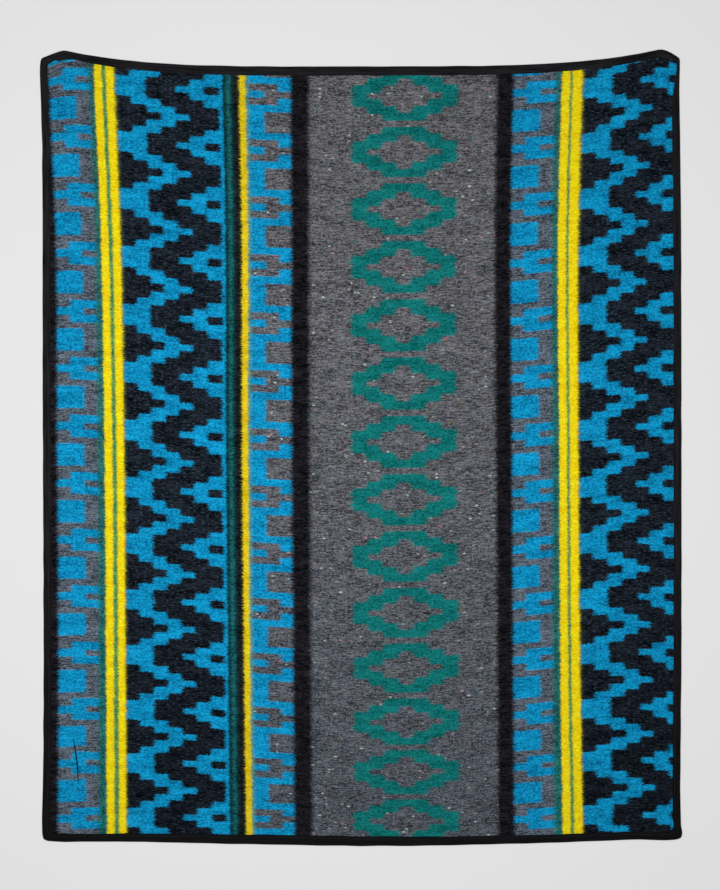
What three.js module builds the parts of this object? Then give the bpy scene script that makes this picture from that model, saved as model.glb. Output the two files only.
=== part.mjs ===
// A woven throw blanket lying flat with its face up: a brushed cloth panel, bound all round
// with a tape that is folded over the panel's edge.
// Millimetres, +Z up. z = 0 is the surface that the blanket lies on, +Y is its top edge.
import * as THREE from 'three';

// Outside size, to the fold of the tape
const HALF_WIDTH = 641;
const HALF_LENGTH = 795;

// Cloth panel
const CLOTH_THICKNESS = 3.0;
const RIM_THICKNESS = 1.0; // the edge is squeezed flat inside the tape
const SHOULDER = 3.0; // run from the tape's edge to the cloth's full thickness

// Binding tape
const TAPE_WIDTH = 15.5; // of each leg of the fold
const TAPE_THICKNESS = 0.9;
const FOLD_BEVEL = 0.8;
const GAP = 0.3; // left between pieces that touch
const MITRE_SETBACK = 0.25; // each length of tape stops this far short of its corner

// The top edge sags between two points where the blanket has hung, one near each corner
const HANG = { left: -593, right: 597, height: 794, tilt: 1, sag: 33, power: 4 };
// and beyond those points the corners have dropped.
const DROP = {
  left: { corner: -639, fall: 16, power: 1.25 },
  right: { corner: 636, fall: 18, power: 1.7 },
};
const SAG_STEPS = 30;
const DROP_STEPS = 5;
const STEPS_PER_PLACE = 3;

// Places that the other three edges pass through, counter-clockwise seen from above.
// The first and last place of each edge is a corner.
const BOTTOM_EDGE = [
  { x: -635, y: -781 },
  { x: -626, y: -785 },
  { x: -480, y: -786 },
  { x: -240, y: -791 },
  { x: 40, y: -795 },
  { x: 240, y: -792 },
  { x: 420, y: -787 },
  { x: 560, y: -782 },
  { x: 626, y: -783 },
  { x: 639, y: -779 },
];
const RIGHT_EDGE = [
  { x: 639, y: -779 },
  { x: 641, y: -768 }, // the tape bulges where it is folded round the corner
  { x: 638, y: -754 },
  { x: 639, y: -420 },
  { x: 639, y: 60 },
  { x: 638, y: 480 },
  { x: 635, y: 720 },
  { x: 636, y: 777 },
];
const LEFT_EDGE = [
  { x: -639, y: 777 },
  { x: -641, y: 764 },
  { x: -640, y: 700 },
  { x: -637, y: 600 },
  { x: -636, y: 120 },
  { x: -634, y: -420 },
  { x: -635, y: -640 },
  { x: -637, y: -768 },
  { x: -635, y: -781 },
];

const CLOTH_COLOUR = 0x5a5b5f;
const TAPE_COLOUR = 0x1c1c1e;

// Heights of the layers of the bound edge, from the surface up
const TAPE_HEIGHT = 2 * TAPE_THICKNESS + 2 * GAP + RIM_THICKNESS;
const RIM_LOW = TAPE_THICKNESS + GAP;
const RIM_HIGH = RIM_LOW + RIM_THICKNESS;

function edgeThrough(places) {
  const points = places.map(({ x, y }) => new THREE.Vector3(x, y, 0));
  const curve = new THREE.CatmullRomCurve3(points, false, 'centripetal');
  return curve.getPoints((places.length - 1) * STEPS_PER_PLACE);
}

// Height of the top edge at x: a flat-bottomed sag, with a dropped corner at each end.
function topEdgeHeight(x) {
  const middle = (HANG.left + HANG.right) / 2;
  const t = (x - middle) / (HANG.right - middle);
  const hang = HANG.height + HANG.tilt * Math.sign(t);
  if (Math.abs(t) <= 1) {
    return HANG.height + HANG.tilt * t - HANG.sag * (1 - Math.abs(t) ** HANG.power);
  }
  const [from, drop] = t < 0 ? [HANG.left, DROP.left] : [HANG.right, DROP.right];
  const share = (x - from) / (drop.corner - from);
  return hang - drop.fall * share ** drop.power;
}

// The top edge from its right corner to its left one, closer set where it turns.
function topEdge() {
  const stretches = [
    { from: DROP.right.corner, to: HANG.right, steps: DROP_STEPS },
    { from: HANG.right, to: HANG.left, steps: SAG_STEPS },
    { from: HANG.left, to: DROP.left.corner, steps: DROP_STEPS },
  ];
  const across = [DROP.right.corner];
  for (const { from, to, steps } of stretches) {
    for (let i = 1; i <= steps; i += 1) {
      across.push(THREE.MathUtils.lerp(from, to, i / steps));
    }
  }
  return across.map((x) => new THREE.Vector3(x, topEdgeHeight(x), 0));
}

const EDGES = {
  bottom: edgeThrough(BOTTOM_EDGE),
  right: edgeThrough(RIGHT_EDGE),
  top: topEdge(),
  left: edgeThrough(LEFT_EDGE),
};

// The place that lies a distance in from a place on the outside edge, at a height.
// Both axes are drawn in by their own share, so the corners keep their rounding.
function inFrom(place, { inset, z }) {
  const x = place.x * (1 - inset / HALF_WIDTH);
  const y = place.y * (1 - inset / HALF_LENGTH);
  return new THREE.Vector3(x, y, z);
}

// A closed solid through loops of equally many points, with its two end loops filled.
function loft(loops, endOutline) {
  const count = endOutline.length;
  const last = (loops.length - 1) * count;
  const index = [];
  for (let k = 0; k + 1 < loops.length; k += 1) {
    for (let i = 0; i < count; i += 1) {
      const j = (i + 1) % count;
      const [a, b] = [k * count + i, k * count + j];
      index.push(a, b, b + count, a, b + count, a + count);
    }
  }
  for (const [a, b, c] of THREE.ShapeUtils.triangulateShape(endOutline, [])) {
    index.push(c, b, a, last + a, last + b, last + c);
  }
  const geometry = new THREE.BufferGeometry().setFromPoints(loops.flat());
  geometry.setIndex(index);
  geometry.computeVertexNormals();
  return geometry;
}

function named(name, geometry, color, roughness) {
  const material = new THREE.MeshStandardMaterial({ color, roughness, metalness: 0 });
  const mesh = new THREE.Mesh(geometry, material);
  mesh.name = name;
  return mesh;
}

// The cloth: full thickness over the field, and a thin rim that the tape encloses.
function clothPanel() {
  const fieldInset = TAPE_WIDTH + GAP + SHOULDER;
  const rimInset = TAPE_WIDTH + GAP;
  const cutInset = TAPE_THICKNESS + GAP;
  const section = [
    { inset: fieldInset, z: 0 },
    { inset: rimInset, z: RIM_LOW },
    { inset: cutInset, z: RIM_LOW },
    { inset: cutInset, z: RIM_HIGH },
    { inset: rimInset, z: RIM_HIGH },
    { inset: fieldInset, z: CLOTH_THICKNESS },
  ];
  const { bottom, right, top, left } = EDGES;
  const outline = [bottom, right, top, left].flatMap((edge) => edge.slice(0, -1));
  const loops = section.map((corner) => outline.map((place) => inFrom(place, corner)));
  return named('cloth', loft(loops, outline), CLOTH_COLOUR, 0.95);
}

// One length of tape: a U section that closes over the cloth's rim, swept along one edge.
function bindingLength(name, edge) {
  const legInside = TAPE_HEIGHT - TAPE_THICKNESS;
  const section = [
    { inset: FOLD_BEVEL, z: 0 },
    { inset: TAPE_WIDTH, z: 0 },
    { inset: TAPE_WIDTH, z: TAPE_THICKNESS },
    { inset: TAPE_THICKNESS, z: TAPE_THICKNESS },
    { inset: TAPE_THICKNESS, z: legInside },
    { inset: TAPE_WIDTH, z: legInside },
    { inset: TAPE_WIDTH, z: TAPE_HEIGHT },
    { inset: FOLD_BEVEL, z: TAPE_HEIGHT },
    { inset: 0, z: TAPE_HEIGHT - FOLD_BEVEL },
    { inset: 0, z: FOLD_BEVEL },
  ];
  const setBack = (end, next) => {
    const step = next.clone().sub(end);
    return end.clone().add(step.setLength(MITRE_SETBACK));
  };
  const first = setBack(edge[0], edge[1]);
  const final = setBack(edge.at(-1), edge.at(-2));
  const route = [first, ...edge.slice(1, -1), final];
  const loops = route.map((place) => section.map((corner) => inFrom(place, corner)));
  const endOutline = section.map(({ inset, z }) => new THREE.Vector2(inset, z));
  return named(`binding_${name}`, loft(loops, endOutline), TAPE_COLOUR, 0.8);
}

const blanket = new THREE.Group();
blanket.add(clothPanel());
for (const [name, edge] of Object.entries(EDGES)) {
  blanket.add(bindingLength(name, edge));
}

export default blanket;
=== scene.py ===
# %% [markdown]
# # A woven throw blanket, laid flat
# The real object is one brushed, woven panel with a dark tape folded over its edge. The CAD frame
# holds the panel and four lengths of tape as plain solids. This lesson dresses them: it keeps their
# outline, and adds the pattern, the nap, soft waves in the cloth and a ribbed, sewn tape.

import bpy
import numpy as np
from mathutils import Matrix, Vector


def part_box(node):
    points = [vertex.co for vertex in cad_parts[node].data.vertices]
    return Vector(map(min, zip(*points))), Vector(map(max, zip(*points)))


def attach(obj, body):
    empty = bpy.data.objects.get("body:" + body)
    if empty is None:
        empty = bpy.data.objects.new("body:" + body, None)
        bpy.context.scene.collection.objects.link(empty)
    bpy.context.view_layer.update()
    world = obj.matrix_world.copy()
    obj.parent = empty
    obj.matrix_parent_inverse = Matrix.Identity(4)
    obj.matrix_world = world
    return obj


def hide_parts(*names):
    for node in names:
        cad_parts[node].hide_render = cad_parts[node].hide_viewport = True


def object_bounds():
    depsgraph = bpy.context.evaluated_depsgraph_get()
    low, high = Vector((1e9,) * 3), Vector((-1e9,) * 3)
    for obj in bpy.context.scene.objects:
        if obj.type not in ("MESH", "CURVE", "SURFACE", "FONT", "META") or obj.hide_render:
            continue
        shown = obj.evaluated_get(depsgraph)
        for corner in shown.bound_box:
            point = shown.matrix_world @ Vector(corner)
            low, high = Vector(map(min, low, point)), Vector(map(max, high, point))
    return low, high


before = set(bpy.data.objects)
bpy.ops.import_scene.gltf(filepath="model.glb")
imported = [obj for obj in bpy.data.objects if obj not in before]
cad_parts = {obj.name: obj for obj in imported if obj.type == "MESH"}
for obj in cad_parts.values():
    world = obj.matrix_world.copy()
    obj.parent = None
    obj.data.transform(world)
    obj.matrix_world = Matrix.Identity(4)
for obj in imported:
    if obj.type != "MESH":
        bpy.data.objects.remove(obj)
CAD_BOX = [list(corner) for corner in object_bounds()]
MM = 0.001
print("CAD box in metres:", CAD_BOX)

# %% [markdown]
# ## The outline
# A blanket that has hung by two corners keeps a sagging top edge and two dropped corners. The frame
# already has that line as the fold of its tape. It could be typed in again, but reading it from the
# frame's own points keeps the dressed blanket and the solids together for good.

# %% Read the fold of the tape from the frame
ALONG_AXIS = {"bottom": 0, "right": 1, "top": 0, "left": 1}
TAPE_NODES = ["binding_" + name for name in ALONG_AXIS]


def fold_line(name):
    """The outside edge of one length of tape, in order along it, as rows of x and y."""
    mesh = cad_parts["binding_" + name].data
    points = np.array([vertex.co for vertex in mesh.vertices]).round(6)
    points = np.unique(points, axis=0)
    levels = np.unique(points[:, 2])
    fold = points[points[:, 2] == levels[1]]
    return fold[np.argsort(fold[:, ALONG_AXIS[name]]), :2]


EDGES = {name: fold_line(name) for name in ALONG_AXIS}
print("points on each edge:", {name: len(edge) for name, edge in EDGES.items()})

# %% Walk along a line by shares of its length
def at_shares(points, shares):
    """Places on a line of points, by the share of its length from its start."""
    steps = np.linalg.norm(np.diff(points, axis=0), axis=1)
    run = np.concatenate([[0.0], np.cumsum(steps)])
    places = np.asarray(shares) * run[-1]
    return np.column_stack([np.interp(places, run, column) for column in points.T])


def length_of(points):
    return float(np.linalg.norm(np.diff(points, axis=0), axis=1).sum())


WIDTH = length_of(EDGES["bottom"])
LENGTH = length_of(EDGES["left"])
print("bottom edge", round(WIDTH, 3), "m, left edge", round(LENGTH, 3), "m")

# %% [markdown]
# ## How wide the tape shows
# The tape shows about as wide as a finger nail, and narrower at the top corners, where it has rolled
# to the back. One small function gives its width at any place, so that the tape and the cloth's edge
# agree. Soft dips are enough for the rolled places.

# %% Width of the tape's front leg
TAPE_FRONT = {"bottom": 16.0, "right": 16.0, "top": 19.2, "left": 15.5}
TAPE_ROLLS = [
    {"x": -620, "y": 786, "radius": 30, "less": 3.5},
    {"x": 632, "y": 780, "radius": 34, "less": 6.0},
    {"x": 637, "y": 748, "radius": 38, "less": 5.0},
    {"x": 641, "y": -768, "radius": 26, "less": -2.0},
    {"x": -90, "y": -790, "radius": 330, "less": -4.0},
]
LEAST_TAPE = 5.0 * MM
SIDE_X = 0.618


def tape_width(x, y):
    """How far the tape's front leg reaches in from the edge near a place."""
    side = np.where(x < 0, TAPE_FRONT["left"], TAPE_FRONT["right"])
    end = np.where(y < 0, TAPE_FRONT["bottom"], TAPE_FRONT["top"])
    width = np.where(np.abs(x) > SIDE_X, side, end) * MM
    for roll in TAPE_ROLLS:
        away = np.hypot(x - roll["x"] * MM, y - roll["y"] * MM) / (roll["radius"] * MM)
        width = width - roll["less"] * MM * np.exp(-away**2)
    return np.maximum(width, LEAST_TAPE)


top_right = EDGES["right"][-1:]
print("tape at the top right corner:", tape_width(top_right[:, 0], top_right[:, 1]))

# %% [markdown]
# ## Soft waves in the cloth
# The cloth lies flat but not dead flat: it keeps faint swells from hanging, and one sharp little
# pinch near the lower left corner. A cloth simulation would flatten such marks or invent others, so
# each is given as a soft ridge or trough.

# %% Waves and the pinch
WAVES = [
    {"x": -520, "y": 640, "heading": -62, "half_length": 230, "half_width": 55, "height": 1.6},
    {"x": 530, "y": 640, "heading": -118, "half_length": 240, "half_width": 60, "height": 1.5},
    {"x": 20, "y": -655, "heading": 2, "half_length": 430, "half_width": 70, "height": 2.4},
    {"x": -160, "y": 130, "heading": 14, "half_length": 420, "half_width": 150, "height": 1.8},
    {"x": 430, "y": -190, "heading": 84, "half_length": 360, "half_width": 80, "height": 1.5},
    {"x": -470, "y": -330, "heading": 78, "half_length": 280, "half_width": 65, "height": 1.3},
    {"x": 120, "y": 520, "heading": -6, "half_length": 380, "half_width": 75, "height": 1.4},
]
PINCH = {"top": (-574.6, -581.0), "foot": (-564.8, -675.0), "bow": 2.5, "half_width": 1.5}
PINCH_DEPTH = 2.0 * MM
PINCH_LIP = {"beside": 4.5, "half_width": 4.0, "height": 1.1}
PINCH_FADE = 18


def pinch_line(share):
    """Places on the bowed line of the pinch, by the share of the way down it."""
    (top_x, top_y), (foot_x, foot_y) = PINCH["top"], PINCH["foot"]
    x = top_x + (foot_x - top_x) * share + PINCH["bow"] * 4 * share * (1 - share)
    y = top_y + (foot_y - top_y) * share
    return x * MM, y * MM


def pinch_place(x, y):
    """Share of the way down the pinch, and distance to the right of its line."""
    top_y, foot_y = PINCH["top"][1], PINCH["foot"][1]
    share = (y / MM - top_y) / (foot_y - top_y)
    return share, x - pinch_line(share)[0]


def pinch_reach(share):
    """1 along the pinch, fading to 0 beyond both of its ends."""
    return 1 / (1 + np.exp(PINCH_FADE * (np.abs(share - 0.5) - 0.5)))


def relief(x, y):
    """Height of the cloth's face above its flat level."""
    height = np.zeros_like(x)
    for wave in WAVES:
        heading = np.radians(wave["heading"])
        across, up = x - wave["x"] * MM, y - wave["y"] * MM
        along = (across * np.cos(heading) + up * np.sin(heading)) / (wave["half_length"] * MM)
        beside = (up * np.cos(heading) - across * np.sin(heading)) / (wave["half_width"] * MM)
        height = height + wave["height"] * MM * np.exp(-along**2 - beside**2)
    share, beside = pinch_place(x, y)
    trough = PINCH_DEPTH * np.exp(-((beside / (PINCH["half_width"] * MM)) ** 2))
    lip_place = (np.abs(beside) - PINCH_LIP["beside"] * MM) / (PINCH_LIP["half_width"] * MM)
    lip = PINCH_LIP["height"] * MM * np.exp(-(lip_place**2))
    return height + pinch_reach(share) * (lip - trough)


print("waves placed:", len(WAVES))

# %% [markdown]
# ## Where the stripes and rows run
# A loom lays stripes and rows straight, but a used blanket pulls them out of line: the stripes lean
# at the top corners, and the rows hang lowest in the middle and drop again at the two corners. Two
# short tables give how far a few stripes and rows have moved, and a smooth curve joins them. The
# result is stored on the mesh as a UV map, so the pattern stays on the cloth from any side.

# %% A smooth curve through a few known values
def through(place, knots, values):
    """Values at the knots, joined by a smooth curve that is straight beyond its ends."""
    knots = np.asarray(knots, float)
    values = np.asarray(values, float)
    slopes = np.gradient(values, knots, axis=0)
    if values.ndim == 1:
        values = values[:, None]
        slopes = slopes[:, None]
    column = np.arange(place.size) % values.shape[1]
    first = np.clip(np.searchsorted(knots, place) - 1, 0, len(knots) - 2)
    span = knots[first + 1] - knots[first]
    raw = (place - knots[first]) / span
    t = np.clip(raw, 0, 1)
    low, high = values[first, column], values[first + 1, column]
    low_slope, high_slope = slopes[first, column] * span, slopes[first + 1, column] * span
    curve = low * (1 + 2 * t) * (1 - t) ** 2 + high * t**2 * (3 - 2 * t)
    curve = curve + low_slope * t * (1 - t) ** 2 + high_slope * t**2 * (t - 1)
    return curve + np.where(raw < 0, low_slope, high_slope) * (raw - t)


print("halfway between 0 and 1:", through(np.array([0.5]), [0, 1, 2], [0, 1, 2]))

# %% Stripes and rows, in millimetres
REPEAT = 912.6
STRIPE_START = -627.6
# How far right of its loom place each stripe has moved, by its x, at five heights
STRIPE_HEIGHTS = [-755, -425, 0, 455, 735]
STRIPE_DRIFT = {
    -590.0: [6.4, 7.4, 4.6, 0.6, -13.1],
    -513.6: [6.8, 5.2, 2.1, -6.7, -19.2],
    -443.0: [7.0, 5.1, 2.4, -4.6, -12.2],
    -370.0: [7.4, 5.0, 0.6, -3.5, -10.2],
    -232.6: [8.6, 4.6, 0.6, -0.4, -5.4],
    -122.6: [6.3, 3.3, 0.3, -0.7, -1.7],
    83.0: [3.9, 3.2, -2.4, -2.1, 0.7],
    283.0: [4.3, 2.3, -0.7, -2.7, 2.3],
    415.0: [3.7, -1.4, -3.8, -5.2, 2.7],
    477.0: [7.0, 0.0, -4.9, -1.0, 7.5],
    540.0: [12.1, 3.7, -3.4, -3.4, 7.4],
    592.0: [11.1, 1.2, -5.9, -7.9, 6.4],
}
# How far each row rises above its lowest place, by x, for six rows
ROW_HEIGHTS = [-747, -547, -385, 13, 361, 705]
ROW_RISE = {
    -614: [4.7, 25, 31.5, 32, 27.5, 30.3],
    -590: [5.5, 26, 32.5, 32.5, 28, 33.5],
    -455: [7.6, 25.2, 26.7, 23, 20, 18.4],
    -347: [7.6, 22.8, 21.8, 13.6, 11.8, 12.2],
    -189: [5, 10, 8, 4.6, 3, 2.4],
    87: [0, 0, 0, 0, 0, 0],
    321: [4, 15, 16, 12, 7.6, 6],
    469: [13, 28, 29.5, 25, 23.8, 17],
    542: [13, 31.5, 33, 30, 28, 29],
    597: [13, 29.5, 31, 32, 29.5, 37],
}
# Heights of the whole repeats at the rows' lowest place, counted down from the top
ROW_MARKS = {
    -745.6: 13, -646.5: 12, -548.0: 11, -439.6: 10, -329.5: 9, -217.5: 8, -103.5: 7,
    11.5: 6, 128.2: 5, 244.3: 4, 360.7: 3, 476.3: 2, 590.1: 1, 702.1: 0,
}
HANG_X = 593
CORNER_RUN = 46
CORNER_DROP = {"left": 17, "right": 23}
CORNER_DEPTH = {"left": 45, "right": 90}
CORNER_POWER = 1.25
PINCH_TAKES = 2.5
PINCH_TAKES_FROM = 30 * MM
ROW_PASSES = 4
HALF_LENGTH = CAD_BOX[1][1]


def from_table(x, y, table, heights):
    """A value that is known along a few upright lines, at any place."""
    lines = np.array([through(y, heights, column) for column in table.values()])
    return through(x, list(table), lines)


def weave_place(x, y):
    """Repeats across and repeats down of the pattern at places given in metres."""
    x, y = x.ravel() / MM, y.ravel() / MM
    known = np.clip(x, min(STRIPE_DRIFT), max(STRIPE_DRIFT))
    drift = from_table(known, y, STRIPE_DRIFT, STRIPE_HEIGHTS)
    beyond = np.maximum(np.abs(x) - HANG_X, 0) / CORNER_RUN
    drop = np.where(x < 0, CORNER_DROP["left"], CORNER_DROP["right"])
    reach = np.where(x < 0, CORNER_DEPTH["left"], CORNER_DEPTH["right"])
    depth = np.maximum(HALF_LENGTH / MM - y, 0)
    y = y + drop * beyond**CORNER_POWER * np.exp(-depth / reach)
    share, beside = pinch_place(x * MM, y * MM)
    taken = np.exp(-np.abs(beside) / PINCH_TAKES_FROM) * (beside > 0)
    y = y - PINCH_TAKES * pinch_reach(share) * taken
    centre = y
    for _ in range(ROW_PASSES):
        centre = y - from_table(x, centre, ROW_RISE, ROW_HEIGHTS)
    down = through(centre, list(ROW_MARKS), list(ROW_MARKS.values()))
    return (x - STRIPE_START - drift) / REPEAT, down


print("pattern at the middle:", weave_place(np.zeros(1), np.zeros(1)))

# %% [markdown]
# ## The cloth as a thin sheet
# The panel is a single thick cloth, so it is made as a closed sheet of two layers. The grid is
# stretched between the four edges, with close lines at the tape and at the pinch. That bends with
# the outline everywhere, where a plain square grid would be cut off at a slanting edge.

# %% Grid lines across and along
CLOTH_STEP = 8.0 * MM
EDGE_LINES = np.array([1.2, 4.5, 8.0, 11.0, 13.5, 15.0, 16.4, 17.8, 19.6, 22.5, 27.0]) * MM
PINCH_SPAN = (-0.582, -0.556)
PINCH_STEP = 1.3 * MM
PINCH_MARGIN = 1.0 * MM


def grid_lines(total):
    """Distances from one edge to the other: close at both ends, even between them."""
    margin = EDGE_LINES[-1]
    inner = np.arange(margin + CLOTH_STEP, total - margin - CLOTH_STEP / 2, CLOTH_STEP)
    return np.concatenate([EDGE_LINES, inner, total - EDGE_LINES[::-1]])


left_x = EDGES["bottom"][0, 0]
across = grid_lines(WIDTH)
pinch_lines = np.arange(*PINCH_SPAN, PINCH_STEP) - left_x
before, after = pinch_lines[0] - PINCH_MARGIN, pinch_lines[-1] + PINCH_MARGIN
outside_pinch = (across < before) | (across > after)
across = np.sort(np.concatenate([across[outside_pinch], pinch_lines]))
SHARES_ACROSS = across / WIDTH
SHARES_UP = grid_lines(LENGTH) / LENGTH
print("grid:", len(SHARES_ACROSS), "by", len(SHARES_UP), "lines")

# %% Stretch the grid between the four edges
def stretched_grid(s, t):
    """Places of every pair of shares, inside four curved edges."""
    bottom, top = at_shares(EDGES["bottom"], s), at_shares(EDGES["top"], s)
    left, right = at_shares(EDGES["left"], t), at_shares(EDGES["right"], t)
    s, t = s[:, None, None], t[None, :, None]
    sides = (1 - s) * left[None] + s * right[None]
    ends = (1 - t) * bottom[:, None] + t * top[:, None]
    low = (1 - s) * EDGES["bottom"][0] + s * EDGES["bottom"][-1]
    high = (1 - s) * EDGES["top"][0] + s * EDGES["top"][-1]
    return sides + ends - (1 - t) * low - t * high


grid = stretched_grid(SHARES_ACROSS, SHARES_UP)
GRID_X, GRID_Y = grid[..., 0], grid[..., 1]
from_side = np.minimum(SHARES_ACROSS, 1 - SHARES_ACROSS)[:, None] * WIDTH
from_end = np.minimum(SHARES_UP, 1 - SHARES_UP)[None, :] * LENGTH
EDGE_DISTANCE = np.minimum(from_side, from_end)
print("grid spans", GRID_X.min().round(3), "to", GRID_X.max().round(3), "across")

# %% Heights of the two layers
CLOTH_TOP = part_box("cloth")[1].z
RIM_LOW, RIM_HIGH = 1.2 * MM, 2.2 * MM
TAPE_GAP = 0.3 * MM
SHOULDER = 4.0 * MM
RELIEF_FROM = 18 * MM
RELIEF_RUN = 60 * MM


def eased(value):
    value = np.clip(value, 0, 1)
    return value * value * (3 - 2 * value)


rise = eased((EDGE_DISTANCE - tape_width(GRID_X, GRID_Y) - TAPE_GAP) / SHOULDER)
waves = relief(GRID_X, GRID_Y) * eased((EDGE_DISTANCE - RELIEF_FROM) / RELIEF_RUN)
FACE_Z = RIM_HIGH + rise * (CLOTH_TOP - RIM_HIGH) + waves
BACK_Z = np.maximum(RIM_LOW * (1 - rise) + waves, 0)
print("face from", FACE_Z.min().round(5), "to", FACE_Z.max().round(5))

# %% Make the sheet
def new_piece(name, vertices, faces, smooth=True):
    """A mesh object in the scene from arrays of corners and faces."""
    mesh = bpy.data.meshes.new(name)
    mesh.from_pydata([tuple(corner) for corner in vertices], [], [tuple(face) for face in faces])
    mesh.validate()
    mesh.polygons.foreach_set("use_smooth", [smooth] * len(mesh.polygons))
    piece = bpy.data.objects.new(name, mesh)
    bpy.context.scene.collection.objects.link(piece)
    return piece


def add_uv(piece, name, corner_values):
    """A UV map from one pair of numbers for each mesh vertex."""
    loops = np.zeros(len(piece.data.loops), int)
    piece.data.loops.foreach_get("vertex_index", loops)
    layer = piece.data.uv_layers.new(name=name)
    layer.data.foreach_set("uv", np.asarray(corner_values, float)[loops].ravel())


columns, rows = GRID_X.shape
number = np.arange(columns * rows).reshape(columns, rows)
face_quads = np.stack([number[:-1, :-1], number[1:, :-1], number[1:, 1:], number[:-1, 1:]], -1)
face_quads = face_quads.reshape(-1, 4)
back_quads = face_quads[:, ::-1] + number.size
rim = np.concatenate([number[:-1, 0], number[-1, :-1], number[:0:-1, -1], number[0, :0:-1]])
rim_quads = np.stack([np.roll(rim, -1), rim, rim + number.size, np.roll(rim, -1) + number.size], -1)
face_points = np.stack([GRID_X, GRID_Y, FACE_Z], -1).reshape(-1, 3)
back_points = np.stack([GRID_X, GRID_Y, BACK_Z], -1).reshape(-1, 3)
cloth = new_piece(
    "woven_cloth",
    np.vstack([face_points, back_points]),
    np.vstack([face_quads, back_quads, rim_quads]),
)
print("cloth sheet:", len(cloth.data.polygons), "faces")

# %% Pattern places on the sheet
FACE_SHARE = 0.79
BACK_SHARE = 0.20
repeats_across, repeats_down = weave_place(GRID_X, GRID_Y)
weave = np.column_stack([repeats_across, repeats_down])
add_uv(cloth, "weave", np.vstack([weave, weave]))
flat_u = (GRID_X.ravel() - GRID_X.min()) / np.ptp(GRID_X)
flat_v = (GRID_Y.ravel() - GRID_Y.min()) / np.ptp(GRID_Y)
face_uv = np.column_stack([flat_u * FACE_SHARE, flat_v])
back_uv = np.column_stack([1 - flat_u * BACK_SHARE, flat_v])
add_uv(cloth, "OFBake", np.vstack([face_uv, back_uv]))
print("repeats across:", np.ptp(repeats_across).round(2), "down:", np.ptp(repeats_down).round(2))

# %% [markdown]
# ## Shader sums in plain Python
# The pattern is a chart of coloured steps, which is mostly counting and comparing. Wiring that by
# hand takes hundreds of lines, so a small class wraps a node's output: a sum on wires adds its Math
# node. Everything else goes through one method that adds any node.

# %% Wires and finishes
def adds(operation, turned=False):
    """A method that adds one Math node. Turned is for a sum whose wire comes second."""

    def method(self, other=0.0):
        first, second = (other, self) if turned else (self, other)
        return self.finish.node("ShaderNodeMath", {"operation": operation}, {0: first, 1: second})

    return method


class Wire:
    """A node's output that takes part in Python sums."""

    def __init__(self, finish, socket):
        self.finish = finish
        self.socket = socket

    __add__, __radd__ = adds("ADD"), adds("ADD", turned=True)
    __sub__, __rsub__ = adds("SUBTRACT"), adds("SUBTRACT", turned=True)
    __mul__, __rmul__ = adds("MULTIPLY"), adds("MULTIPLY", turned=True)
    __truediv__, __pow__ = adds("DIVIDE"), adds("POWER")
    __gt__, __lt__ = adds("GREATER_THAN"), adds("LESS_THAN")
    __abs__, floor, part = adds("ABSOLUTE"), adds("FLOOR"), adds("FRACT")
    least, most = adds("MINIMUM"), adds("MAXIMUM")

    def held(self):
        return self.most(0.0).least(1.0)

    def between(self, low, high):
        """The low value where this is 0, and the high one where it is 1."""
        return self * (high - low) + low


class Finish:
    """A material and its node tree."""

    def __init__(self, name):
        self.material = bpy.data.materials.new(name)
        self.material.use_nodes = True
        self.tree = self.material.node_tree
        self.tree.nodes.clear()

    def node(self, kind, settings=None, values=None, out=0):
        """Any node: its settings first, then the values or links of its sockets."""
        made = self.tree.nodes.new(kind)
        for name, value in (settings or {}).items():
            setattr(made, name, value)
        for key, value in (values or {}).items():
            if isinstance(value, Wire):
                self.tree.links.new(value.socket, made.inputs[key])
            else:
                made.inputs[key].default_value = value
        return Wire(self, made.outputs[out]) if len(made.outputs) else made

    def mix(self, share, first, second):
        """A colour that goes from the first to the second."""
        values = {0: share, 6: first, 7: second}
        return self.node("ShaderNodeMix", {"data_type": "RGBA"}, values, out=2)

    def scaled(self, place, sizes):
        """A place with each of its numbers multiplied."""
        return self.node("ShaderNodeVectorMath", {"operation": "MULTIPLY"}, {0: place, 1: sizes})

    def axis(self, vector, which):
        """One number of a vector or colour, counted from 0."""
        return self.node("ShaderNodeSeparateXYZ", {}, {0: vector}, out=which)

    def surface(self, **sockets):
        """The Principled shader that ends the tree."""
        values = {name.replace("_", " "): value for name, value in sockets.items()}
        shader = self.node("ShaderNodeBsdfPrincipled", {}, values)
        self.node("ShaderNodeOutputMaterial", {}, {"Surface": shader})
        return self.material


print("wires ready")

# %% [markdown]
# ## Yarn colours
# Brushed yarn is never one colour: each stripe wanders between a darker and a lighter shade of its
# dye. So each yarn is a pair of shades, and streaky noise moves between them: evenly in the bright
# dyes, mostly dark in the deep ones, and with broad patches in the heather greys. The shades are
# given as screen colours and turned into the linear colours that a shader needs.

# %% Yarns
def dye(red, green, blue):
    """A screen colour, 0 to 255, as the linear colour of a shader socket, by the sRGB curve."""
    screen = np.array([red, green, blue]) / 255
    linear = np.where(screen <= 0.04045, screen / 12.92, ((screen + 0.055) / 1.055) ** 2.4)
    return (*(float(value) for value in linear), 1.0)


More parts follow.
